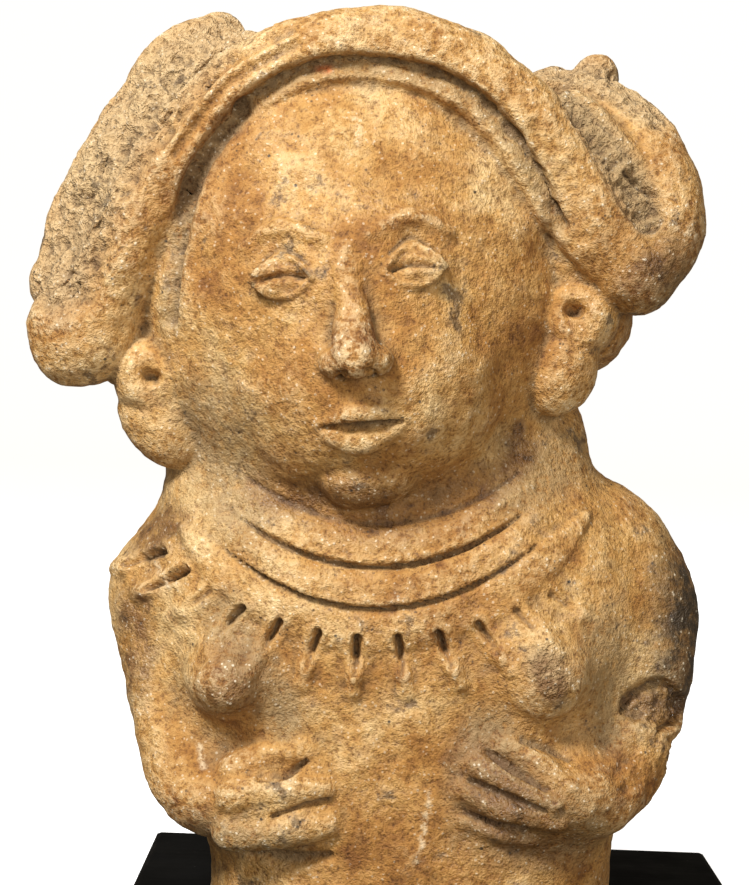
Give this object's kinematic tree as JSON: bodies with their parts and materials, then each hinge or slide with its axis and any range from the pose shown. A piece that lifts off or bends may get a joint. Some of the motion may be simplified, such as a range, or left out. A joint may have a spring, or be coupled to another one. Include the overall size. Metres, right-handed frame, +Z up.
{
  "type": "ceramic figurine",
  "caption": "Hand-modelled terracotta half-figure of a woman with rolled hair, a rolled necklace and hands on the belly, standing on a low black display base.",
  "frame": {"origin": "centre of the display base's underside", "axes": "+Z up, +X to the viewer's right when the figure is seen from its front, the figure faces -Y"},
  "size_m": [0.0918, 0.064, 0.1283],
  "materials": {
    "terracotta": "unglazed fired clay, worn and stained, matt",
    "black_paint": "black paint, satin"
  },
  "bodies": {
    "root": {"figurine": "terracotta", "display_base": "black_paint"}
  },
  "joints": []
}
